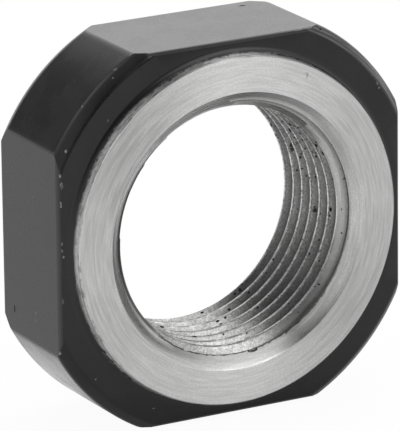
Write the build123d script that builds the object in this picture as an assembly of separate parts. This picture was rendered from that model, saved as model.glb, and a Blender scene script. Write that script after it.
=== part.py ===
from build123d import *
from math import radians, tan
import os

# Lock nut for a fine-threaded shaft end. All sizes are in millimetres.
# The thread axis lies along Y and the nut stands on its lower flat.
# The ground ring looks towards -Y, and the origin is on the thread axis at half thickness.

# Overall sizes: the turned corners stand out past the flats
ACROSS_FLATS = 22.0
CORNER_STANDOUT = 1.50
THICKNESS = 8.0

# Light edge break along the milled flats
FLAT_EDGE_BREAK = 0.18

# Raised ring, ground true to the thread, and the strip of face left outside its root
RING_HEIGHT = 0.75
RING_EDGE_RADIUS = 0.10
RING_ROOT_RADIUS = 0.50
FACE_STRIP = 0.12

# Turned corners, broken at the front and eased with a longer taper at the back
FRONT_CORNER_CHAMFER = 0.55
FRONT_CORNER_RADIUS = 0.35
BACK_CORNER_DEPTH = 0.50
BACK_CORNER_LENGTH = 0.95
BACK_CORNER_RADIUS = 0.80

# Bore for an M15 x 1 thread, left plain at the crest diameter
# Each lead opens past the thread's outer radius, at an angle measured from the thread axis
THREAD_DIAMETER = 15.0
THREAD_PITCH = 1.0
FRONT_LEAD_PAST_THREAD = 0.625
FRONT_LEAD_ANGLE = 42.0
BACK_LEAD_PAST_THREAD = 0.30
BACK_LEAD_ANGLE = 45.0

# A metric internal thread is at least this many pitches smaller at its crests
# This bore lies near the large end of the 0.236 that a medium fit allows above that
CREST_DROP_PER_PITCH = 1.0825
CREST_ALLOWANCE = 0.22

# Where the faces lie along the thread axis
RING_FACE = -THICKNESS / 2
FRONT_FACE = RING_FACE + RING_HEIGHT
BACK_FACE = THICKNESS / 2

# Radii about the thread axis
FLAT_RADIUS = ACROSS_FLATS / 2
BODY_RADIUS = FLAT_RADIUS + CORNER_STANDOUT
ROOT_RADIUS_FITTED = min(RING_ROOT_RADIUS, RING_HEIGHT - 1.2 * RING_EDGE_RADIUS)
RING_RADIUS = FLAT_RADIUS - FLAT_EDGE_BREAK - FACE_STRIP - ROOT_RADIUS_FITTED
THREAD_RADIUS = THREAD_DIAMETER / 2
CREST_RADIUS = (THREAD_DIAMETER - CREST_DROP_PER_PITCH * THREAD_PITCH + CREST_ALLOWANCE) / 2


def rounded(profile, places):
    """Round the profile corner nearest to each place by its own radius."""
    for radial, axial, radius in places:
        corner = profile.vertices().sort_by_distance((radial, axial, 0))[0]
        profile = fillet(corner, radius)
    return profile


def turned_blank():
    """Solid turned blank: corners broken, ring left proud of the front face."""
    front_radius = BODY_RADIUS - FRONT_CORNER_CHAMFER
    back_radius = BODY_RADIUS - BACK_CORNER_DEPTH
    back_start = BACK_FACE - BACK_CORNER_LENGTH
    outline = Polyline(
        (0, RING_FACE),
        (RING_RADIUS, RING_FACE),
        (RING_RADIUS, FRONT_FACE),
        (front_radius, FRONT_FACE),
        (BODY_RADIUS, FRONT_FACE + FRONT_CORNER_CHAMFER),
        (BODY_RADIUS, back_start),
        (back_radius, BACK_FACE),
        (0, BACK_FACE),
        close=True,
    )
    places = [
        (RING_RADIUS, RING_FACE, RING_EDGE_RADIUS),
        (RING_RADIUS, FRONT_FACE, ROOT_RADIUS_FITTED),
        (front_radius, FRONT_FACE, FRONT_CORNER_RADIUS),
        (BODY_RADIUS, back_start, BACK_CORNER_RADIUS),
        (back_radius, BACK_FACE, BACK_CORNER_RADIUS / 2),
    ]
    return revolve(rounded(make_face(outline), places), Axis.Y)


def flat_pair():
    """Bar between two opposite flats, its long edges broken, and clear of the ring."""
    inner = FLAT_RADIUS - FLAT_EDGE_BREAK
    ahead = RING_FACE - RING_HEIGHT
    outline = Polyline(
        (-inner, ahead),
        (inner, ahead),
        (inner, FRONT_FACE),
        (FLAT_RADIUS, FRONT_FACE + FLAT_EDGE_BREAK),
        (FLAT_RADIUS, BACK_FACE - FLAT_EDGE_BREAK),
        (inner, BACK_FACE),
        (-inner, BACK_FACE),
        (-FLAT_RADIUS, BACK_FACE - FLAT_EDGE_BREAK),
        (-FLAT_RADIUS, FRONT_FACE + FLAT_EDGE_BREAK),
        (-inner, FRONT_FACE),
        close=True,
    )
    return extrude(make_face(outline), 2 * BODY_RADIUS, both=True)


def bore_tool():
    """Plain bore with a conical lead at each mouth."""
    front_slope = tan(radians(FRONT_LEAD_ANGLE))
    back_slope = tan(radians(BACK_LEAD_ANGLE))
    front_mouth = THREAD_RADIUS + FRONT_LEAD_PAST_THREAD
    back_mouth = THREAD_RADIUS + BACK_LEAD_PAST_THREAD
    past = RING_HEIGHT
    outline = Polyline(
        (0, RING_FACE - past),
        (front_mouth + past * front_slope, RING_FACE - past),
        (CREST_RADIUS, RING_FACE + (front_mouth - CREST_RADIUS) / front_slope),
        (CREST_RADIUS, BACK_FACE - (back_mouth - CREST_RADIUS) / back_slope),
        (back_mouth + past * back_slope, BACK_FACE + past),
        (0, BACK_FACE + past),
        close=True,
    )
    return revolve(make_face(outline), Axis.Y)


def lock_nut():
    """Turn the blank, mill four flats and bore it through."""
    upright = flat_pair()
    level = upright.rotate(Axis.Y, 90)
    milled = turned_blank() & upright & level
    return milled - bore_tool()


def main():
    os.makedirs("parts", exist_ok=True)
    nut = lock_nut()
    export_step(nut.solid(), "parts/lock_nut.step")


main()
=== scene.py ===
import math

import bmesh
import bpy
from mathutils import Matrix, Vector


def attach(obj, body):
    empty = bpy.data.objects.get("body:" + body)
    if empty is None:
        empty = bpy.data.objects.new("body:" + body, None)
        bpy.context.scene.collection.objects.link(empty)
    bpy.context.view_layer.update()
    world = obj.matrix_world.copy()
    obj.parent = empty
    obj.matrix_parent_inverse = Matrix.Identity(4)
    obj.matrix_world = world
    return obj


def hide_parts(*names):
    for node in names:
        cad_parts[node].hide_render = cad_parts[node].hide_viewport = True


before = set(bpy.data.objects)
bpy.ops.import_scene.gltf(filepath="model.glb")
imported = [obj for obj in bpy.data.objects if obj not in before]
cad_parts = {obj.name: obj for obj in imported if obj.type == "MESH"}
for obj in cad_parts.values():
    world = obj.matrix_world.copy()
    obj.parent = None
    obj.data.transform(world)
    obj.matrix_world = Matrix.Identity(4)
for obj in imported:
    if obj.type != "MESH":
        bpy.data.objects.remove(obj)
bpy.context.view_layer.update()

# Lock nut: a turned and milled body with a fine thread right through it.
# Sizes are written in millimetres and multiplied by MM. The thread axis is Y and the ring looks to -Y.
# Angles about the axis are in degrees from +X towards +Z.
MM = 0.001

# Places along the thread axis, and distances from it
RING_FACE = -4.0
FRONT_FACE = -3.25
BACK_FACE = 4.0
FLAT = 11.0
BODY_RADIUS = 12.5
RING_RADIUS = 10.2
RING_ROOT = 10.7

# The turned corners: their radius at each face, and where along the axis the full radius starts and ends
FRONT_CORNER_RADIUS = 11.95
FRONT_CORNER_END = -2.70
BACK_CORNER_START = 3.05
BACK_CORNER_RADIUS = 12.0

# How deep the soft line beside each flat is
SOFT_LINE = 0.024

# Light passes that ease the flats' edges: tilt in degrees, and how far back on the flat each starts
EASED_EDGE = ((22.5, 0.25), (45.0, 0.18), (67.5, 0.075))
WORN_EDGE = ((7.0, 0.50), (19.0, 0.33), (36.0, 0.20), (54.0, 0.115), (72.0, 0.055))

# Radii of the leads and the thread. The lip and the burr's root lie on the front lead.
FRONT_MOUTH = 8.125
FRONT_LEAD_SLOPE = math.tan(math.radians(42))
BACK_MOUTH = 7.80
LIP = 7.72
BURR_ROOT = 7.45
CREST = 7.069
THREAD = 7.56

# The thread's groove starts ahead of the front mouth. From EASED_HEIGHT outside the crests it opens
# by EASED_WIDTH more on each side over the next PAST_EASED inwards, which eases the crests' corners.
PITCH = 1.0
GROOVE_START = -5.295
GROOVE_TURNS = 10
HALF_ROOT = 0.10
EASED_HEIGHT = 0.05
EASED_WIDTH = 0.20
PAST_EASED = 0.11

# Wear: how far the crests are torn, how far each pull moves the lip, and what share of its radius
# each roll leaves to the burr
CREST_TEAR = 0.020
LIP_PULL = 0.032
BURR_ROLL = 0.9935

# How finely round shapes are divided, and the angle in degrees up to which they are shaded smooth
STEPS = 192
SMOOTH_ANGLE = 24

# The viewpoint from which the pits are sighted, in mm. The photograph's camera stands there too,
# as fitted to the nut's outline: where it looks and its distance in mm, its angles in degrees, its lens.
VIEWPOINT = (-150.998, -273.345, 96.349)
CAMERA_TARGET = (-2.529, -4.0, 1.380)
CAMERA_DISTANCE = 321.884
CAMERA_AZIMUTH = -28.865
CAMERA_ELEVATION = 17.160
CAMERA_ROLL = -0.710
CAMERA_LENS = 516.2


# Handling

def put_down():
    """Leave edit mode and let go of everything."""
    if bpy.context.mode != "OBJECT":
        bpy.ops.object.mode_set(mode="OBJECT")
    bpy.ops.object.select_all(action="DESELECT")


def take(piece):
    """Hold one piece alone."""
    put_down()
    piece.select_set(True)
    bpy.context.view_layer.objects.active = piece


def open_up(piece):
    """Hold one piece in edit mode with nothing selected."""
    take(piece)
    bpy.ops.object.mode_set(mode="EDIT")
    bpy.ops.mesh.select_mode(type="VERT")
    bpy.ops.mesh.select_all(action="DESELECT")


def choose_points(piece, wanted):
    """Select the points for which wanted(place in mm) is true."""
    bpy.ops.mesh.select_mode(type="VERT")
    bpy.ops.mesh.select_all(action="DESELECT")
    mesh = bmesh.from_edit_mesh(piece.data)
    for point in mesh.verts:
        if wanted(point.co / MM):
            point.select_set(True)
    mesh.select_flush_mode()
    bmesh.update_edit_mesh(piece.data)


def choose_faces(piece, wanted):
    """Select the faces for which wanted(face) is true."""
    bpy.ops.mesh.select_mode(type="FACE")
    bpy.ops.mesh.select_all(action="DESELECT")
    mesh = bmesh.from_edit_mesh(piece.data)
    for face in mesh.faces:
        if wanted(face):
            face.select_set(True)
    mesh.select_flush_mode()
    bmesh.update_edit_mesh(piece.data)


def polar(place):
    """Radius and angle about the thread axis."""
    return math.hypot(place[0], place[2]), math.degrees(math.atan2(place[2], place[0]))


def on_axis_circle(radius, axial, angle):
    """A place in mm from its radius, its place along the axis and its angle."""
    turn = math.radians(angle)
    return Vector((radius * math.cos(turn), axial, radius * math.sin(turn)))


def on_lead(radius):
    """Place along the axis of a radius on the front lead."""
    return RING_FACE + (FRONT_MOUTH - radius) / FRONT_LEAD_SLOPE


def draw_section(name, corners):
    """Draw a closed section through corners in mm, by extruding one point on and on."""
    put_down()
    bpy.ops.mesh.primitive_plane_add(size=0.1 * MM, location=corners[0] * MM)
    piece = bpy.context.object
    piece.name = name
    bpy.ops.object.transform_apply(location=True)
    bpy.ops.object.mode_set(mode="EDIT")
    bpy.ops.mesh.select_mode(type="VERT")
    bpy.ops.mesh.select_all(action="SELECT")
    bpy.ops.mesh.merge(type="CENTER")
    for here, there in zip(corners, corners[1:]):
        bpy.ops.mesh.extrude_region_move(TRANSFORM_OT_translate={"value": (there - here) * MM})
    mesh = bmesh.from_edit_mesh(piece.data)
    for point in mesh.verts:
        point.select_set(len(point.link_edges) == 1)
    mesh.select_flush_mode()
    bmesh.update_edit_mesh(piece.data)
    bpy.ops.mesh.edge_face_add()
    return piece


def tidy_shell():
    """Merge doubles and turn every face outwards."""
    bpy.ops.mesh.select_all(action="SELECT")
    bpy.ops.mesh.remove_doubles(threshold=1e-7)
    bpy.ops.mesh.normals_make_consistent(inside=False)


def cut_away(piece, tool, keep_tool_finish=False):
    """Take the tool's shape out of the piece, then clear the tool away."""
    take(piece)
    cut = piece.modifiers.new(tool.name, "BOOLEAN")
    cut.operation = "DIFFERENCE"
    cut.solver = "EXACT"
    cut.object = tool
    if keep_tool_finish:
        cut.material_mode = "TRANSFER"
    bpy.ops.object.modifier_apply(modifier=cut.name)
    bpy.data.objects.remove(tool)


# Body

def turn_body():
    """The turned section, its corners rounded, spun round the thread axis."""
    corners = [
        (FRONT_MOUTH, RING_FACE),
        (RING_RADIUS, RING_FACE),
        (RING_RADIUS, FRONT_FACE),
        (FRONT_CORNER_RADIUS, FRONT_FACE),
        (BODY_RADIUS, FRONT_CORNER_END),
        (BODY_RADIUS, BACK_CORNER_START),
        (BACK_CORNER_RADIUS, BACK_FACE),
        (BACK_MOUTH, BACK_FACE),
        (CREST, BACK_FACE - BACK_MOUTH + CREST),
        (CREST, on_lead(CREST)),
        (BURR_ROOT, on_lead(BURR_ROOT)),
        (LIP, on_lead(LIP)),
    ]
    body = draw_section("lock_nut_body", [Vector((r, y, 0)) for r, y in corners])
    # Distance of each rounding from its corner, and how many steps it takes
    roundings = (
        (corners[0], 0.035, 2),
        (corners[1], 0.10, 5),
        (corners[2], 0.50, 12),
        (corners[3], 0.15, 5),
        (corners[4], 0.17, 6),
        (corners[5], 0.198, 5),
        (corners[6], 0.242, 6),
        (corners[7], 0.035, 2),
    )
    for (r, y), back, steps in roundings:
        corner = Vector((r, y, 0))
        choose_points(body, lambda place: (place - corner).length < 0.01)
        bpy.ops.mesh.bevel(offset=back * MM, segments=steps, affect="VERTICES", clamp_overlap=False)
    bpy.ops.mesh.select_all(action="SELECT")
    bpy.ops.mesh.spin(steps=STEPS, angle=2 * math.pi, center=(0, 0, 0), axis=(0, 1, 0))
    tidy_shell()
    return body


def slice_off(piece, place, outward, wanted=None):
    """Cut everything that lies outside one plane off the chosen faces, and close the cut."""
    if wanted:
        choose_faces(piece, wanted)
    else:
        bpy.ops.mesh.select_all(action="SELECT")
    bpy.ops.mesh.bisect(
        plane_co=place * MM, plane_no=outward, use_fill=True, clear_outer=True, threshold=1e-7
    )


def mill_flats(body):
    """Four flats, the soft line along each side of them, and an eased edge at front and back."""
    open_up(body)
    sides = [Vector((1, 0, 0)), Vector((-1, 0, 0)), Vector((0, 0, 1)), Vector((0, 0, -1))]
    forward = Vector((0, -1, 0))
    for side in sides:
        slice_off(body, side * FLAT, side)
    # Each soft line is a shallow cut that leans halfway from the flat to the turned corner
    half_turn = math.acos(FLAT / BODY_RADIUS) / 2
    reach = BODY_RADIUS * math.cos(half_turn) - SOFT_LINE
    for side in sides:
        across = side.cross(forward)
        for way in (-1, 1):
            outward = side * math.cos(half_turn) + across * math.sin(half_turn) * way
            slice_off(body, outward * reach, outward)

    def outside_ring(face):
        return all(polar(point.co / MM)[0] > RING_ROOT - 0.01 for point in face.verts)

    for side in sides:
        # The left flat's front edge is worn rounder than the others
        front_edge = WORN_EDGE if side.x < -0.5 else EASED_EDGE
        for tilt, start in front_edge:
            outward = side * math.cos(math.radians(tilt)) + forward * math.sin(math.radians(tilt))
            slice_off(body, side * FLAT + forward * (-FRONT_FACE - start), outward, outside_ring)
        for tilt, start in EASED_EDGE:
            outward = side * math.cos(math.radians(tilt)) - forward * math.sin(math.radians(tilt))
            slice_off(body, side * FLAT - forward * (BACK_FACE - start), outward)
    tidy_shell()
    put_down()


def cut_thread(body):
    """Right-hand groove with eased crests, screwed out of one drawn section past both mouths."""
    flank = math.tan(math.radians(30))
    eased = CREST + EASED_HEIGHT
    inner = eased - PAST_EASED
    at_eased = HALF_ROOT + (THREAD - eased) * flank
    at_inner = at_eased + EASED_WIDTH
    # The section is drawn half a step round from +X, so that the groove's edges fall between the body's
    turn = 180 / STEPS
    middle = GROOVE_START - PITCH * turn / 360
    section = [
        (inner, -at_inner),
        (eased, -at_eased),
        (THREAD, -HALF_ROOT),
        (THREAD, HALF_ROOT),
        (eased, at_eased),
        (inner, at_inner),
    ]
    corners = [on_axis_circle(r, middle + y, turn) for r, y in section]
    groove = draw_section("thread_groove", corners)
    take(groove)
    screw = groove.modifiers.new("turns", "SCREW")
    screw.axis = "Y"
    screw.angle = 2 * math.pi
    screw.screw_offset = PITCH * MM
    screw.iterations = GROOVE_TURNS
    screw.steps = STEPS
    screw.render_steps = STEPS
    bpy.ops.object.modifier_apply(modifier=screw.name)
    open_up(groove)
    tidy_shell()
    bpy.ops.mesh.fill_holes(sides=len(section))
    tidy_shell()
    cut_away(body, groove)


def roughen_crests(body):
    """The crests of the thread are a little torn between the two leads."""
    open_up(body)
    choose_points(body, lambda place: abs(polar(place)[0] - CREST) < 0.004 and -2.7 < place.y < 3.15)
    bpy.ops.transform.vertex_random(offset=CREST_TEAR * MM, seed=4)
    put_down()


def pull_lip(body):
    """The inner part of the front lead leans a little more to the front along the top."""
    open_up(body)
    for start, end in ((34, 152), (38, 144), (43, 136), (48, 128)):
        def at_lip(place):
            radius, angle = polar(place)
            on_burr_root = abs(radius - BURR_ROOT) < 0.02 and abs(place.y - on_lead(radius)) < 0.15
            return on_burr_root and start < angle % 360 < end
        choose_points(body, at_lip)
        bpy.ops.transform.translate(value=(0, -LIP_PULL * MM, 0))
    put_down()


def roll_burr(body):
    """A thin burr is rolled inwards off the left of the lead's inner edge, more in its lower half."""
    open_up(body)
    for start, end in ((124, 238), (140, 232), (176, 229)):
        def at_edge(place):
            radius, angle = polar(place)
            return radius < BURR_ROOT - 0.03 and -3.27 < place.y < -2.92 and start < angle % 360 < end
        choose_points(body, at_edge)
        bpy.ops.transform.resize(value=(BURR_ROLL, 1, BURR_ROLL), center_override=(0, 0, 0))
    put_down()


# Marks of use

def small_dent(place, size, lean=(0, 0, 0), seed=1, rough=0.12):
    """A small uneven lump, put where it is to be sunk into the nut: place and size in mm, lean in degrees."""
    bpy.ops.mesh.primitive_ico_sphere_add(
        subdivisions=2, radius=MM, location=Vector(place) * MM, rotation=[math.radians(a) for a in lean]
    )
    lump = bpy.context.object
    bpy.ops.object.mode_set(mode="EDIT")
    bpy.ops.mesh.select_all(action="SELECT")
    bpy.ops.transform.vertex_random(offset=rough * MM, seed=seed)
    bpy.ops.object.mode_set(mode="OBJECT")
    lump.scale = size
    bpy.ops.object.transform_apply(location=True, rotation=True, scale=True)
    return lump


def gather(groups, name):
    """Join all lumps into one cutting tool. Each group of lumps keeps its own finish."""
    put_down()
    for finish, lumps in groups:
        for lump in lumps:
            lump.data.materials.append(finish)
            lump.select_set(True)
    bpy.context.view_layer.objects.active = groups[0][1][0]
    bpy.ops.object.join()
    tool = bpy.context.object
    tool.name = name
    return tool


# Chips through the black along the front edges: place, size
EDGE_CHIPS = (
    ((-10.50, -3.12, 6.17), (0.10, 0.10, 0.14)),
    ((-10.95, -3.21, 4.80), (0.10, 0.12, 0.16)),
    ((-10.88, -3.27, 4.20), (0.13, 0.10, 0.24)),
    ((-10.94, -3.21, 3.12), (0.10, 0.10, 0.20)),
    ((-10.92, -3.23, 0.86), (0.08, 0.08, 0.14)),
    ((-10.92, -3.23, 0.45), (0.09, 0.09, 0.13)),
    ((-10.82, -3.29, 0.09), (0.08, 0.08, 0.10)),
    ((-10.93, -3.22, -2.52), (0.10, 0.10, 0.18)),
    ((-11.04, -3.08, -5.10), (0.08, 0.10, 0.16)),
    ((-11.00, -2.88, -5.66), (0.09, 0.12, 0.16)),
    ((5.30, -3.02, 11.02), (0.42, 0.09, 0.08)),
    ((4.48, -3.10, 11.00), (0.34, 0.08, 0.06)),
    ((5.98, -2.98, 10.76), (0.07, 0.22, 0.12)),
    ((9.24, -3.27, 7.68), (0.14, 0.08, 0.14)),
    ((9.54, -3.28, 7.15), (0.10, 0.07, 0.16)),
    ((9.62, -3.27, 6.85), (0.07, 0.06, 0.09)),
    ((-7.11, -2.72, 10.33), (0.17, 0.13, 0.13)),
    ((-7.37, -2.96, 9.89), (0.10, 0.09, 0.10)),
    ((-9.23, -2.70, 8.50), (0.10, 0.10, 0.13)),
    ((8.82, -3.19, -8.28), (0.09, 0.09, 0.09)),
)

# Specks and scratches on the flats and the front face: place, size
FACE_MARKS = (
    ((-11.03, 3.02, 3.45), (0.07, 0.07, 0.09)),
    ((-11.02, -0.01, 2.77), (0.06, 0.10, 0.05)),
    ((-11.02, 3.60, 1.82), (0.06, 0.06, 0.06)),
    ((-11.01, -0.07, -4.02), (0.03, 0.04, 0.12)),
    ((-11.01, -0.05, -4.50), (0.03, 0.04, 0.16)),
    ((-11.01, -0.25, -5.43), (0.03, 0.04, 0.07)),
    ((-7.88, -3.27, 7.54), (0.05, 0.05, 0.09)),
    ((-8.93, -3.27, -7.42), (0.06, 0.05, 0.05)),
    ((-5.25, -3.27, -9.80), (0.09, 0.05, 0.05)),
)

# Two narrow slits where something struck the flats: place, size
SLITS = (
    ((-11.02, 2.53, -4.52), (0.09, 0.07, 0.27)),
    ((4.26, 3.02, 11.02), (0.26, 0.09, 0.08)),
)

# Pits in the thread: angle about the axis, place along it as sighted past the crests,
# length along the turn, width
THREAD_PITS = (
    (-2.1, -2.21, 0.15, 0.14),
    (-5.4, -2.15, 0.06, 0.06),
    (29.3, -2.92, 0.13, 0.10),
    (33.2, -2.57, 0.13, 0.13),
    (36.8, -3.02, 0.07, 0.07),
    (24.2, -1.64, 0.09, 0.07),
    (26.5, -1.77, 0.06, 0.05),
    (11.0, -0.74, 0.07, 0.07),
    (26.0, -0.55, 0.06, 0.05),
    (32.2, -0.91, 0.07, 0.07),
    (35.8, 0.09, 0.16, 0.06),
    (17.8, 0.67, 0.07, 0.07),
    (12.1, 0.70, 0.05, 0.05),
    (25.0, 1.09, 0.09, 0.07),
    (9.5, 1.47, 0.07, 0.06),
    (-61.3, -0.04, 0.08, 0.08),
    (-52.0, -2.0, 0.05, 0.05),
    (-18.5, -1.51, 0.06, 0.05),
    (-26.6, -1.04, 0.06, 0.05),
    (-69.9, 1.60, 0.09, 0.24),
    (-36.8, 2.05, 0.07, 0.07),
    (-60.8, 2.72, 0.10, 0.07),
    (-85.9, -1.10, 0.07, 0.07),
    (-82.6, -0.70, 0.06, 0.06),
    (-79.7, 0.90, 0.12, 0.08),
    (-75.4, 0.93, 0.10, 0.07),
    (-77.4, -2.0, 0.05, 0.05),
    (-58.5, 1.20, 0.05, 0.05),
    (-53.2, 0.13, 0.05, 0.05),
    (-21.9, 0.16, 0.05, 0.05),
    (-6.5, -1.10, 0.05, 0.05),
    (0.0, 1.05, 0.05, 0.05),
    (20.9, 0.30, 0.05, 0.05),
    (30.7, 0.20, 0.05, 0.05),
    (44.0, -1.96, 0.06, 0.05),
    (-79.7, 2.75, 0.12, 0.10),
    (-100.2, -0.83, 0.17, 0.10),
    (-111.2, 0.66, 0.16, 0.10),
)

# Nicks and dark specks on the front lead: angle, radius, length along the turn, width
LEAD_MARKS = (
    (245.3, 7.40, 0.18, 0.11),
    (208.0, 7.32, 0.08, 0.06),
    (322.9, 7.18, 0.05, 0.10),
    (348.5, 7.33, 0.05, 0.09),
    (296.4, 7.54, 0.05, 0.05),
    (303.5, 7.52, 0.05, 0.05),
)

# Dings in the ring face: radius, place along the axis, angle, size, lean about the axis, seed
RING_DINGS = (
    (9.60, RING_FACE - 0.03, 62.7, (0.22, 0.14, 0.15), -62.7, 3),
    (9.72, RING_FACE - 0.02, -72.7, (0.07, 0.07, 0.07), 0, 5),
    (9.68, RING_FACE - 0.01, 99.0, (0.04, 0.03, 0.10), -99.0, 6),
)

# Tears in the thread's two ends, in the same terms
TEARS = (
    (7.50, on_lead(7.50), 279.0, (0.15, 0.15, 0.34), -279.0, 8),
    (7.06, 2.93, 10.2, (0.14, 0.14, 0.20), -10.2, 9),
)


def sighted(piece, place):
    """Where the line from the viewpoint through a place in mm meets the piece."""
    start = Vector(VIEWPOINT) * MM
    hit, spot, _, _ = piece.ray_cast(start, (place * MM - start).normalized())
    return spot / MM if hit else place


def sighted_pits(body, places):
    """A pit for each place, sunk where it is sighted on the nut: length along the turn, width."""
    pits = []
    for n, (place, along, across) in enumerate(places):
        spot = sighted(body, place)
        pits.append(small_dent(spot, (0.06, across, along), (0, -polar(spot)[1], 0), n, 0.2))
    return pits


def placed_dents(rows, rough):
    """A lump for each row of a table of dings or tears."""
    return [
        small_dent(on_axis_circle(radius, axial, angle), size, (0, lean, 0), seed, rough)
        for radius, axial, angle, size, lean, seed in rows
    ]


def mark_surfaces(body, finishes):
    """Sink the chips, specks, slits, dings and pits, each with its own finish on its walls."""
    put_down()
    chips = [
        small_dent(place, size, seed=n, rough=0.22)
        for n, (place, size) in enumerate(EDGE_CHIPS + FACE_MARKS)
    ]
    slits = [small_dent(place, size, seed=n) for n, (place, size) in enumerate(SLITS)]
    in_thread = [(on_axis_circle(7.0, axial, angle), *size) for angle, axial, *size in THREAD_PITS]
    in_lead = [(on_axis_circle(radius, on_lead(radius), angle), *size) for angle, radius, *size in LEAD_MARKS]
    pits = sighted_pits(body, in_thread) + sighted_pits(body, in_lead)
    dings = placed_dents(RING_DINGS, 0.1)
    tears = placed_dents(TEARS, 0.25)
    groups = [
        (finishes["chipped"], chips + tears),
        (finishes["pitted"], slits + pits),
        (finishes["ground"], dings),
    ]
    cut_away(body, gather(groups, "marks_of_use"), True)


# Finishes

class Wiring:
    """The nodes and links of one node tree, and the ways in which this script adds to them."""

    def __init__(self, tree):
        self.nodes = tree.nodes
        self.links = tree.links

    def add(self, kind, **settings):
        """A new shader node with its settings."""
        node = self.nodes.new("ShaderNode" + kind)
        for name, value in settings.items():
            setattr(node, name, value)
        return node

    def feed(self, socket, value):
        """Link a socket to another, or set its number, vector or colour. A colour's lone number is a grey."""
        if isinstance(value, bpy.types.NodeSocket):
            self.links.new(value, socket)
        elif socket.type != "RGBA":
            socket.default_value = value
        elif isinstance(value, tuple):
            socket.default_value = (*value, 1.0)
        else:
            socket.default_value = (value, value, value, 1.0)

    def feed_in_order(self, sockets, *values):
        """Feed sockets one after another."""
        for socket, value in zip(sockets, values):
            self.feed(socket, value)

    def feed_named(self, node, **values):
        """Feed a node's inputs by their labels, each written with underscores for its spaces."""
        for label, value in values.items():
            self.feed(node.inputs[label.replace("_", " ")], value)

    def calculate(self, operation, *values):
        """The result of a Math node."""
        node = self.add("Math", operation=operation)
        self.feed_in_order(node.inputs, *values)
        return node.outputs[0]

    def product(self, first, *others):
        """All the values multiplied together."""
        for other in others:
            first = self.calculate("MULTIPLY", first, other)
        return first

    def vectors(self, operation, *values):
        """The two results of a Vector Math node: a vector and a number."""
        node = self.add("VectorMath", operation=operation)
        self.feed_in_order(node.inputs, *values)
        return tuple(node.outputs)

    def unit(self, vector):
        """A vector of length 1 with the same direction."""
        return self.vectors("NORMALIZE", vector)[0]

    def split(self, vector):
        """The three parts of a vector."""
        node = self.add("SeparateXYZ")
        self.feed(node.inputs[0], vector)
        return tuple(node.outputs)

    def ramp(self, value, low, high, out_low=0.0, out_high=1.0):
        """Ease from one level to another while the value goes from the low limit to the high one."""
        node = self.add("MapRange", interpolation_type="SMOOTHSTEP")
        self.feed_in_order(node.inputs, value, low, high, out_low, out_high)
        return node.outputs[0]

    def fade(self, value, low, high, level=1.0):
        """Ease from a level down to nothing."""
        return self.ramp(value, low, high, level, 0.0)

    def between(self, value, rise_start, rise_end, fall_start, fall_end):
        """1 between two soft limits, and 0 outside them."""
        return self.product(self.ramp(value, rise_start, rise_end), self.fade(value, fall_start, fall_end))

    def noise(self, vector, scale, detail=2.0, rough=0.5):
        """A Noise Texture's level."""
        node = self.add("TexNoise")
        self.feed_named(node, Vector=vector, Scale=scale, Detail=detail, Roughness=rough)
        return node.outputs["Fac"]

    def blend_colour(self, amount, low, high):
        """From one colour to another."""
        node = self.add("Mix", data_type="RGBA")
        self.feed_in_order(node.inputs[0:1] + node.inputs[6:8], amount, low, high)
        return node.outputs[2]

    def blend_number(self, amount, low, high):
        """From one number to another."""
        node = self.add("Mix")
        self.feed_in_order(node.inputs[0:1] + node.inputs[2:4], amount, low, high)
        return node.outputs[0]

    def put(self, group, position, **values):
        """Put in a node group, fed with a position. Returns its outputs."""
        node = self.add("Group", node_tree=group)
        self.feed_named(node, Position=position, **values)
        return node.outputs


def new_finish(name):
    """A material, its wiring, its Principled BSDF, and the piece's own position."""
    finish = bpy.data.materials.new(name)
    finish.use_nodes = True
    wires = Wiring(finish.node_tree)
    return finish, wires, wires.nodes["Principled BSDF"], wires.add("TexCoord").outputs["Object"]


def new_group(name, takes, gives):
    """An empty node group, its wiring, its inputs by label, and its output node.

    Each input comes with its first value: a number, a vector, or None for a vector that is always linked.
    Each output comes with its kind.
    """
    group = bpy.data.node_groups.new(name, "ShaderNodeTree")
    for label, value in takes.items():
        kind = "Float" if isinstance(value, float) else "Vector"
        socket = group.interface.new_socket(label, in_out="INPUT", socket_type="NodeSocket" + kind)
        if value is not None:
            socket.default_value = value
    for label, kind in gives.items():
        group.interface.new_socket(label, in_out="OUTPUT", socket_type="NodeSocket" + kind)
    came = group.nodes.new("NodeGroupInput").outputs
    return group, Wiring(group), came, group.nodes.new("NodeGroupOutput")


def around_axis_group():
    """Splits a place: radius and distance along the thread axis in mm, angle and direction about it."""
    group, wires, came, goes = new_group(
        "around_axis",
        {"Position": None},
        {"Radius": "Float", "Along": "Float", "Angle": "Float", "Direction": "Vector"},
    )
    x, y, z = wires.split(came["Position"])
    flat = wires.add("CombineXYZ")
    wires.feed_named(flat, X=x, Z=z)
    _, radius = wires.vectors("LENGTH", flat.outputs[0])
    turn = wires.calculate("ARCTAN2", z, x)
    wires.feed_named(
        goes,
        Radius=wires.product(radius, 1 / MM),
        Along=wires.product(y, 1 / MM),
        Angle=wires.product(turn, 180 / math.pi),
        Direction=wires.unit(flat.outputs[0]),
    )
    return group


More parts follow.
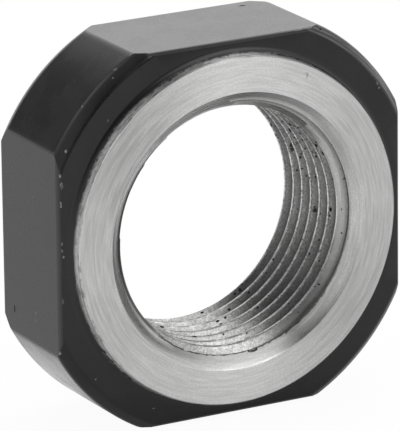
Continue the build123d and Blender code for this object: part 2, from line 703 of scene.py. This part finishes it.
def turning_marks_group(around_axis):
    """Rings left by the lathe or the grinding wheel: long streaks round the axis, broken here and there."""
    group, wires, came, goes = new_group(
        "turning_marks",
        {"Position": None, "Lines per mm": 6.0, "Streak breaks": 4.0},
        {"Tone": "Float", "Height": "Float"},
    )
    place = wires.put(around_axis, came["Position"])
    # Radius and axial place together, so that the marks run on over cones and walls
    depth = wires.calculate("ADD", place["Radius"], place["Along"])
    across = wires.calculate("SUBTRACT", place["Radius"], place["Along"])
    lay = wires.calculate("ADD", across, wires.product(depth, 0.37))

    def streak(lines, breaks):
        step = wires.add("CombineXYZ")
        wires.feed_named(step, Y=wires.product(lay, lines))
        round_about, _ = wires.vectors("MULTIPLY", place["Direction"], breaks)
        both, _ = wires.vectors("ADD", round_about, step.outputs[0])
        return wires.noise(both, 1.0, 1.0)

    lines, breaks = came["Lines per mm"], came["Streak breaks"]
    coarse = streak(lines, breaks)
    fine = streak(wires.product(lines, 3.1), wires.product(breaks, 2.3))
    mixed = wires.calculate("MULTIPLY_ADD", coarse, 0.55, wires.product(fine, 0.45))
    wires.feed_named(goes, Tone=wires.ramp(mixed, 0.28, 0.72), Height=mixed)
    return group


def fine_grain_group():
    """Fine even grain of worked or blackened steel, with soft cloudy patches."""
    group, wires, came, goes = new_group(
        "fine_grain",
        {"Position": None, "Grain per metre": 14000.0, "Cloud per metre": 500.0},
        {"Grain": "Float", "Cloud": "Float"},
    )
    grain = wires.noise(came["Position"], came["Grain per metre"])
    cloud = wires.noise(came["Position"], came["Cloud per metre"], 3.0, 0.6)
    wires.feed_named(goes, Grain=wires.ramp(grain, 0.3, 0.7), Cloud=wires.ramp(cloud, 0.3, 0.7))
    return group


def specks_group():
    """Sparse small dots: dust on the black, dirt in the bare steel."""
    group, wires, came, goes = new_group(
        "specks",
        {"Position": None, "Specks per metre": 900.0, "Share": 0.3, "Size": 0.09},
        {"Mask": "Float"},
    )
    cells = wires.add("TexVoronoi", feature="F1")
    wires.feed_named(cells, Vector=came["Position"], Scale=came["Specks per metre"])
    pick = wires.add("SeparateColor")
    wires.feed(pick.inputs[0], cells.outputs["Color"])
    chosen = wires.calculate("LESS_THAN", pick.outputs[0], came["Share"])
    own_size = wires.product(came["Size"], wires.calculate("ADD", pick.outputs[1], 0.35))
    near = wires.calculate("LESS_THAN", cells.outputs["Distance"], own_size)
    wires.feed_named(goes, Mask=wires.product(chosen, near))
    return group


def raise_surface(wires, surface, height, distance):
    """Raise the surface a little where the height is greater."""
    bump = wires.add("Bump")
    wires.feed_named(bump, Height=height, Distance=distance, Strength=1.0)
    wires.feed_named(surface, Normal=bump.outputs[0])


def turned_sheen(wires, surface, amount):
    """Steel worked round the axis spreads its shine across the tool marks."""
    round_axis = wires.add("Tangent", direction_type="RADIAL", axis="Y")
    wires.feed_named(surface, Anisotropic=amount, Anisotropic_Rotation=0.25, Tangent=round_axis.outputs[0])


def blackened_finish(groups):
    """Black oxide: dark, half glossy, faintly clouded, with fine dust and rubbed grain."""
    finish, wires, surface, position = new_finish("blackened_steel")
    place = wires.put(groups["around"], position)
    marks = wires.put(groups["turning"], position, Lines_per_mm=11.0, Streak_breaks=3.0)
    grain = wires.put(groups["grain"], position, Grain_per_metre=16000.0, Cloud_per_metre=450.0)
    dust = wires.put(groups["specks"], position, Specks_per_metre=900.0, Share=0.05, Size=0.05)
    shade = wires.blend_colour(grain["Cloud"], (0.004, 0.004, 0.0042), (0.008, 0.008, 0.0082))
    shade = wires.blend_colour(dust["Mask"], shade, 0.07)
    # Thin turned lines on the front chamfer, painted lighter at the upper right only: real marks, lit there
    # by painted highlight
    lines = wires.product(
        wires.ramp(marks["Tone"], 0.54, 0.66),
        wires.ramp(place["Radius"], 11.90, 11.98),
        wires.fade(place["Along"], -2.70, -2.62),
        wires.between(place["Angle"], 12.0, 30.0, 64.0, 72.0),
    )
    shade = wires.blend_colour(lines, shade, 0.075)
    roughness = wires.ramp(grain["Cloud"], 0.0, 1.0, 0.24, 0.30)
    wires.feed_named(surface, Base_Color=shade, Roughness=roughness, Metallic=0.0, Specular_IOR_Level=0.44)
    raise_surface(wires, surface, grain["Grain"], 0.0000015)
    return finish


def ground_finish(groups):
    """Ground ring face: bright steel with fine rings and a little grain."""
    finish, wires, surface, position = new_finish("ground_steel")
    place = wires.put(groups["around"], position)
    marks = wires.put(groups["turning"], position, Lines_per_mm=6.0, Streak_breaks=4.0)
    grain = wires.put(groups["grain"], position, Grain_per_metre=8000.0, Cloud_per_metre=1100.0)
    # The top and the bottom of the ring are painted a little brighter than its sides, as painted sheen
    turned_from_right = wires.calculate("ABSOLUTE", place["Angle"])
    from_upright = wires.calculate("ABSOLUTE", wires.calculate("SUBTRACT", turned_from_right, 92.0))
    painted_sheen = wires.product(
        wires.fade(from_upright, 24.0, 62.0), wires.ramp(place["Angle"], 40.0, 110.0, 0.7, 1.0)
    )
    painted_sheen_below = wires.fade(place["Angle"], -10.0, 10.0, 0.42)
    painted_sheen = wires.calculate("MULTIPLY_ADD", painted_sheen, painted_sheen_below, painted_sheen)
    dark_line = wires.blend_colour(painted_sheen, (0.51, 0.51, 0.506), (0.66, 0.66, 0.655))
    light_line = wires.blend_colour(painted_sheen, (0.70, 0.70, 0.695), (0.86, 0.86, 0.855))
    shade = wires.blend_colour(marks["Tone"], dark_line, light_line)
    shade = wires.blend_colour(wires.product(grain["Grain"], 0.40), shade, 0.54)
    roughness = wires.ramp(marks["Tone"], 0.0, 1.0, 0.46, 0.38)
    wires.feed_named(surface, Base_Color=shade, Roughness=roughness, Metallic=1.0)
    turned_sheen(wires, surface, 0.8)
    raise_surface(wires, surface, marks["Height"], 0.000002)
    return finish


def worn_wall_finish(groups):
    """Wall and root of the ring: the grinding took the black off the wall and left a ragged edge."""
    finish, wires, surface, position = new_finish("worn_ring_wall")
    place = wires.put(groups["around"], position)
    marks = wires.put(groups["turning"], position, Lines_per_mm=12.0, Streak_breaks=8.0)
    grain = wires.put(groups["grain"], position, Grain_per_metre=7000.0, Cloud_per_metre=4800.0)
    turned_from_right = wires.calculate("ABSOLUTE", place["Angle"])
    # The edge of the bare strip wanders with the streaks and the patches, less on the left
    uneven = wires.calculate("SUBTRACT", grain["Cloud"], 0.5)
    streaky = wires.calculate("SUBTRACT", marks["Tone"], 0.5)
    shift = wires.calculate("MULTIPLY_ADD", uneven, 0.10, wires.product(streaky, 0.20))
    shift = wires.product(shift, wires.ramp(turned_from_right, 140.0, 165.0, 1.0, 0.45))
    bare = wires.fade(wires.calculate("ADD", place["Along"], shift), -3.64, -3.40)
    scored = wires.ramp(wires.calculate("MULTIPLY_ADD", uneven, 0.10, marks["Height"]), 0.38, 0.52)
    # The wheel rubbed the wall most at the top and on the left
    top = wires.product(
        wires.ramp(place["Angle"], 55.0, 92.0, 0.2, 0.75), wires.ramp(place["Angle"], 98.0, 112.0, 1.0, 0.6)
    )
    left = wires.ramp(turned_from_right, 100.0, 145.0, 0.2, 1.0)
    brightened = wires.calculate("MAXIMUM", top, left)
    bare = wires.product(bare, wires.calculate("MULTIPLY_ADD", scored, 0.65, 0.35), brightened)
    rim = wires.product(wires.fade(place["Along"], -3.96, -3.92, 0.9), wires.ramp(place["Angle"], 78.0, 94.0))
    bare = wires.calculate("MAXIMUM", bare, rim)
    wires.feed_named(
        surface,
        Base_Color=wires.blend_colour(bare, 0.005, (0.62, 0.62, 0.615)),
        Roughness=wires.ramp(bare, 0.0, 1.0, 0.27, 0.42),
        Metallic=wires.product(bare, 0.3),
    )
    raise_surface(wires, surface, bare, 0.000006)
    return finish


def turned_finish(groups):
    """Leads at both mouths: turned, with plainer rings than the ground face."""
    finish, wires, surface, position = new_finish("turned_lead")
    place = wires.put(groups["around"], position)
    marks = wires.put(groups["turning"], position, Lines_per_mm=3.2, Streak_breaks=3.0)
    grain = wires.put(groups["grain"], position, Grain_per_metre=8000.0, Cloud_per_metre=3000.0)
    shade = wires.blend_colour(marks["Tone"], (0.52, 0.52, 0.515), (0.70, 0.70, 0.69))
    shade = wires.blend_colour(wires.product(grain["Grain"], 0.4), shade, 0.44)
    # The upper left is painted bright, as painted reflection, from a radius that grows with the angle
    from_rubbed = wires.calculate("MULTIPLY_ADD", place["Angle"], -0.016, place["Radius"])
    upper_left = wires.between(place["Angle"], 86.0, 103.0, 160.0, 176.0)
    brightened = wires.product(wires.ramp(from_rubbed, 5.10, 5.30, 0.0, 0.95), upper_left)
    shade = wires.blend_colour(brightened, shade, (0.95, 0.95, 0.945))
    # The outer part is painted darker at the top, as painted shade
    painted_top_shade = wires.product(
        wires.ramp(place["Radius"], 7.70, 7.82), wires.between(place["Angle"], 36.0, 56.0, 86.0, 100.0)
    )
    shade = wires.blend_colour(painted_top_shade, shade, 0.39)
    # The rolled burr on the left is painted dark, as painted shade
    turned_from_right = wires.calculate("ABSOLUTE", place["Angle"])
    burr = wires.product(
        wires.fade(place["Radius"], 7.34, 7.42), wires.ramp(turned_from_right, 124.0, 138.0)
    )
    # A ragged dark line at the thread's start, real crack and painted shade, at a radius that grows slowly
    # with the angle
    start = wires.calculate("MULTIPLY_ADD", place["Angle"], 0.00165, 7.575)
    past_start = wires.calculate("SUBTRACT", place["Radius"], start)
    past_start = wires.calculate("MULTIPLY_ADD", grain["Cloud"], -0.05, past_start)
    line = wires.product(
        wires.fade(past_start, 0.02, 0.045), wires.between(place["Angle"], -138.0, -128.0, -60.0, 30.0)
    )
    shade = wires.blend_colour(wires.calculate("MAXIMUM", burr, line), shade, 0.13)
    roughness = wires.ramp(marks["Tone"], 0.0, 1.0, 0.32, 0.25)
    wires.feed_named(surface, Base_Color=shade, Roughness=roughness, Metallic=1.0)
    turned_sheen(wires, surface, 0.5)
    raise_surface(wires, surface, marks["Height"], 0.000002)
    return finish


def threaded_finish(groups):
    """Thread: cut steel, a little darker and torn, with dirt left in it."""
    finish, wires, surface, position = new_finish("cut_thread")
    place = wires.put(groups["around"], position)
    marks = wires.put(groups["turning"], position, Lines_per_mm=4.5, Streak_breaks=16.0)
    grain = wires.put(groups["grain"], position, Grain_per_metre=9000.0, Cloud_per_metre=900.0)
    # More dirt was left in the upper right of the thread
    from_dirtiest = wires.calculate("ABSOLUTE", wires.calculate("SUBTRACT", place["Angle"], 32.0))
    coarse_share = wires.ramp(from_dirtiest, 8.0, 28.0, 0.40, 0.07)
    fine_share = wires.ramp(from_dirtiest, 6.0, 32.0, 0.60, 0.04)
    coarse = wires.put(groups["specks"], position, Specks_per_metre=2500.0, Size=0.26, Share=coarse_share)
    fine = wires.put(groups["specks"], position, Specks_per_metre=4300.0, Size=0.22, Share=fine_share)
    dirty = wires.calculate("MAXIMUM", coarse["Mask"], fine["Mask"])
    # Painted shade darkens the groove towards its root
    root_shade = wires.ramp(place["Radius"], 7.02, 7.45)
    shade = wires.blend_colour(marks["Tone"], (0.28, 0.28, 0.277), (0.44, 0.44, 0.436))
    shade = wires.blend_colour(wires.product(grain["Grain"], 0.8), shade, 0.17)
    shade = wires.blend_colour(wires.product(root_shade, 0.6), shade, (0.16, 0.16, 0.158))
    # The first turn is painted brighter, as painted light, down to just short of its root
    brightened = wires.product(
        wires.fade(place["Along"], -3.0, -2.6, 0.55), wires.ramp(place["Radius"], 7.34, 7.53, 1.0, 0.2)
    )
    shade = wires.blend_colour(brightened, shade, (0.58, 0.58, 0.575))
    # The bottom is painted light all over, as painted reflection, with its crests painted dark as painted
    # shadow lines
    worn = wires.between(place["Angle"], -150.0, -135.0, -80.0, -62.0)
    light = wires.blend_colour(grain["Grain"], (0.62, 0.62, 0.615), (0.34, 0.34, 0.336))
    shade = wires.blend_colour(wires.product(worn, 0.85), shade, light)
    # The torn crests are bare steel, painted brighter still towards the top as painted highlight
    torn = wires.calculate("MULTIPLY_ADD", grain["Grain"], 0.032, place["Radius"])
    crest = wires.fade(torn, CREST + 0.012, CREST + 0.040)
    at_top = wires.ramp(place["Angle"], 40.0, 62.0)
    bright = wires.blend_colour(at_top, (0.66, 0.66, 0.655), (0.98, 0.98, 0.975))
    bright = wires.blend_colour(worn, bright, 0.14)
    shade = wires.blend_colour(crest, shade, bright)
    wires.feed_named(
        surface,
        Base_Color=wires.blend_colour(dirty, shade, 0.02),
        Roughness=wires.ramp(grain["Cloud"], 0.0, 1.0, 0.32, 0.42),
        Metallic=wires.calculate("SUBTRACT", 1.0, dirty),
    )
    turned_sheen(wires, surface, 0.6)
    raise_surface(wires, surface, grain["Grain"], 0.000004)
    return finish


def chipped_finish(groups):
    """Bare steel where the black has been knocked off."""
    finish, wires, surface, position = new_finish("chipped_bare_steel")
    grain = wires.put(groups["grain"], position, Grain_per_metre=12000.0, Cloud_per_metre=3000.0)
    shade = wires.blend_colour(grain["Cloud"], 0.08, (0.28, 0.28, 0.278))
    roughness = wires.ramp(grain["Grain"], 0.0, 1.0, 0.35, 0.55)
    wires.feed_named(surface, Base_Color=shade, Roughness=roughness, Metallic=0.6)
    return finish


def pitted_finish(groups):
    """Pits and slits: dark, dull and dirty."""
    finish, wires, surface, position = new_finish("dirty_pit")
    grain = wires.put(groups["grain"], position, Grain_per_metre=12000.0, Cloud_per_metre=3000.0)
    shade = wires.blend_colour(grain["Cloud"], 0.008, 0.03)
    roughness = wires.ramp(grain["Grain"], 0.0, 1.0, 0.6, 0.85)
    wires.feed_named(surface, Base_Color=shade, Roughness=roughness)
    return finish


def make_finishes():
    """All finishes, which share four node groups."""
    around = around_axis_group()
    groups = {
        "around": around,
        "turning": turning_marks_group(around),
        "grain": fine_grain_group(),
        "specks": specks_group(),
    }
    return {
        "blackened": blackened_finish(groups),
        "ground": ground_finish(groups),
        "worn": worn_wall_finish(groups),
        "turned": turned_finish(groups),
        "threaded": threaded_finish(groups),
        "chipped": chipped_finish(groups),
        "pitted": pitted_finish(groups),
    }


def tool_mark(face):
    """Which finish the tool that last touched a face has left on it."""
    middle = face.calc_center_median()
    radius, _ = polar(middle / MM)
    axial = middle.y / MM
    facing = face.normal
    # The bore ends with the rounding of either mouth
    in_bore = radius < (8.3 if axial < 0 else 7.9)
    if axial < RING_FACE + 0.03 and abs(facing.y) > 0.90:
        return "ground"
    if not in_bore and radius < RING_ROOT and axial < FRONT_FACE - 0.002:
        return "worn"
    if radius < BACK_MOUTH + 0.01:
        # The pulled lip lies up to 0.13 ahead of the front cone, and the groove's flanks face less inwards
        on_front_cone = -0.16 < axial - on_lead(radius) < 0.02
        on_back_cone = abs(radius - (BACK_MOUTH - (BACK_FACE - axial))) < 0.02
        inwards = -facing.dot(Vector((middle.x, 0, middle.z)).normalized())
        if (on_front_cone or on_back_cone) and inwards > 0.51:
            return "turned"
        if radius < THREAD + 0.05:
            return "threaded"
    if in_bore and radius < FRONT_MOUTH + 0.01 and abs(facing.y) > 0.3 and axial < -2.8:
        return "turned"
    return "blackened"


def finish_faces(body, finishes):
    """Give each face the finish of the tool that last touched it there."""
    order = ["blackened", "ground", "worn", "turned", "threaded"]
    for name in order:
        body.data.materials.append(finishes[name])
    open_up(body)
    mesh = bmesh.from_edit_mesh(body.data)
    for face in mesh.faces:
        face.material_index = order.index(tool_mark(face))
    bmesh.update_edit_mesh(body.data)
    put_down()


def make_nut():
    """Turn, mill, thread, mark and finish the nut."""
    finishes = make_finishes()
    body = turn_body()
    mill_flats(body)
    pull_lip(body)
    cut_thread(body)
    finish_faces(body, finishes)
    mark_surfaces(body, finishes)
    roll_burr(body)
    roughen_crests(body)
    take(body)
    bpy.ops.object.shade_smooth_by_angle(angle=math.radians(SMOOTH_ANGLE))
    even = body.modifiers.new("even_normals", "WEIGHTED_NORMAL")
    even.keep_sharp = True
    even.weight = 80
    bpy.ops.object.modifier_apply(modifier=even.name)
    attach(body, "root")
    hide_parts("lock_nut")


# Stage and light

# The floor's width in metres
FLOOR_SIZE = 2.4


def light_patch_group():
    """1 over most of the surroundings, and another level within a soft-edged patch of them."""
    group, wires, came, goes = new_group(
        "light_patch",
        {
            "Position": None,
            "Middle": (0.0, -1.0, 0.0),
            "Inner degrees": 20.0,
            "Outer degrees": 40.0,
            "Level inside": 0.2,
        },
        {"Factor": "Float"},
    )
    _, near = wires.vectors("DOT_PRODUCT", wires.unit(came["Position"]), wires.unit(came["Middle"]))
    # Kept just under 1, because a rounded product above 1 has no arc cosine
    apart = wires.calculate("ARCCOSINE", wires.calculate("MINIMUM", near, 0.999999))
    degrees = wires.product(apart, 180 / math.pi)
    factor = wires.ramp(degrees, came["Inner degrees"], came["Outer degrees"], came["Level inside"], 1.0)
    wires.feed_named(goes, Factor=factor)
    return group


# Patches of the surroundings: middle, inner and outer edge in degrees, level inside
LIGHT_PATCHES = {
    "front_opening": ((-0.05, -1.0, 0.08), 15.0, 30.0, 0.08),
    "back_left_corner": ((-0.42, 0.82, 0.39), 12.0, 42.0, 0.17),
    "front_softbox": ((0.38, -0.72, 0.58), 8.0, 30.0, 3.4),
    "left_softbox": ((-0.60, 0.15, 0.78), 8.0, 26.0, 1.7),
}


def studio_light_group():
    """Light from a direction: more from behind, and little through the front opening and the overhead gap."""
    patch = light_patch_group()
    group, wires, came, goes = new_group(
        "studio_light",
        {"Position": None, "Level": 1.0, "More from right": 0.2, "More from behind": 0.5},
        {"Light": "Float"},
    )
    unit = wires.unit(came["Position"])
    x, y, z = wires.split(unit)
    light = wires.calculate("MULTIPLY_ADD", x, came["More from right"], came["Level"])
    light = wires.calculate("MULTIPLY_ADD", y, came["More from behind"], light)
    for label, (middle, inner, outer, inside) in LIGHT_PATCHES.items():
        node = wires.add("Group", node_tree=patch, label=label)
        wires.feed_in_order(node.inputs, unit, middle, inner, outer, inside)
        light = wires.product(light, node.outputs[0])
    # Shade between the left wall and the softbox: wide towards the front, a narrow gap overhead
    lean = wires.product(wires.calculate("ARCTAN2", x, z), 180 / math.pi)
    shade = wires.product(wires.between(lean, -62.0, -20.0, -2.0, 7.0), wires.fade(y, -0.58, -0.40, 0.92))
    aside = wires.calculate("ABSOLUTE", wires.calculate("ADD", lean, 14.0))
    gap = wires.product(wires.fade(aside, 4.0, 7.0, 0.6), wires.ramp(z, 0.6, 0.75))
    light = wires.product(
        light, wires.calculate("SUBTRACT", 1.0, shade), wires.calculate("SUBTRACT", 1.0, gap)
    )
    wires.feed_named(goes, Light=light)
    return group


def seen_directly(wires):
    """1 for what the camera sees straight, and 1 for what it sees in a mirror or through glass."""
    path = wires.add("LightPath").outputs
    mirrored = wires.calculate("MAXIMUM", path["Is Glossy Ray"], path["Is Transmission Ray"])
    return path["Is Camera Ray"], mirrored


def white_for_camera(wires, camera, level):
    """Plain white for the camera itself, the given light level for all else."""
    return wires.blend_number(camera, level, 1.0)


def make_world():
    """Soft studio surroundings, white where the camera sees them."""
    world = bpy.data.worlds.new("studio")
    world.use_nodes = True
    bpy.context.scene.world = world
    wires = Wiring(world.node_tree)
    direction = wires.add("TexCoord").outputs["Generated"]
    studio = wires.put(
        studio_light_group(), direction, Level=1.0, More_from_right=0.05, More_from_behind=0.5
    )
    camera, _ = seen_directly(wires)
    strength = white_for_camera(wires, camera, studio["Light"])
    wires.feed_named(wires.nodes["Background"], Color=1.0, Strength=strength)


def make_floor():
    """A wide pale floor: white for the camera, lighter and darker in places where the nut mirrors it."""
    put_down()
    bpy.ops.mesh.primitive_plane_add(size=FLOOR_SIZE, location=(0, 0, -FLAT * MM))
    floor = bpy.context.object
    floor.name = "floor"
    bpy.ops.object.transform_apply(location=True)
    finish, wires, surface, position = new_finish("pale_floor")
    wires.feed_named(surface, Base_Color=0.86, Roughness=0.9, Specular_IOR_Level=0.0)
    camera, mirrored = seen_directly(wires)
    # Limits in metres from the nut's middle: across to the right, along to the back
    across, along, _ = wires.split(position)
    # The glow is painted darker in front of the nut and behind on its right, as painted shadow, and brighter
    # just behind its middle
    front = wires.product(
        wires.ramp(along, -0.020, -0.006, 0.82, 0.56), wires.ramp(across, 0.004, 0.020, 1.0, 0.75)
    )
    back = wires.product(
        wires.ramp(across, -0.019, -0.010, 0.90, 2.0), wires.ramp(across, -0.004, 0.006, 1.0, 0.1)
    )
    level = wires.blend_number(wires.ramp(along, -0.004, 0.004), front, back)
    glow = wires.add("Emission")
    wires.feed_named(glow, Strength=white_for_camera(wires, camera, level))
    # The camera sees mostly the glow and a mirror nearly half of it, the rest being the lit and shaded floor
    share = wires.calculate("MULTIPLY_ADD", camera, 0.95, wires.product(mirrored, 0.45))
    both = wires.add("MixShader")
    wires.feed_in_order(both.inputs, share, surface.outputs[0], glow.outputs[0])
    wires.feed_named(wires.nodes["Material Output"], Surface=both.outputs[0])
    floor.data.materials.append(finish)


def soft_lamp(name, direction, distance, size, level):
    """A square softbox that looks at the nut: distance and size in metres, level in the world's terms."""
    put_down()
    place = Vector(direction).normalized() * distance
    bpy.ops.object.light_add(type="AREA", location=place)
    lamp = bpy.context.object
    lamp.name = name
    lamp.rotation_euler = (-place).to_track_quat("-Z", "Y").to_euler()
    lamp.data.shape = "SQUARE"
    lamp.data.size = size
    lamp.data.energy = math.pi * size * size * level


def make_camera():
    """The photograph's camera, rolled a little about its own line of sight."""
    put_down()
    azimuth, elevation = math.radians(CAMERA_AZIMUTH), math.radians(CAMERA_ELEVATION)
    level = math.cos(elevation)
    back = Vector((math.sin(azimuth) * level, -math.cos(azimuth) * level, math.sin(elevation)))
    roll = math.radians(CAMERA_ROLL)
    right = (-back).cross(Vector((0, 0, 1))).normalized()
    up = right.cross(-back)
    turned_right = right * math.cos(roll) + up * math.sin(roll)
    turned_up = up * math.cos(roll) - right * math.sin(roll)
    bpy.ops.object.camera_add(location=(Vector(CAMERA_TARGET) + back * CAMERA_DISTANCE) * MM)
    camera = bpy.context.object
    matrix = camera.matrix_world.copy()
    for row in range(3):
        matrix[row][0:3] = turned_right[row], turned_up[row], back[row]
    camera.matrix_world = matrix
    camera.data.sensor_fit = "HORIZONTAL"
    camera.data.sensor_width = 36.0
    camera.data.lens = CAMERA_LENS
    camera.data.clip_start = 0.01
    camera.data.clip_end = 20.0
    bpy.context.scene.camera = camera


make_nut()
make_world()
make_floor()
soft_lamp("overhead_softbox", direction=(0.45, 0.50, 0.74), distance=0.55, size=0.45, level=1.5)
make_camera()
bpy.context.scene.view_settings.view_transform = "Standard"
put_down()
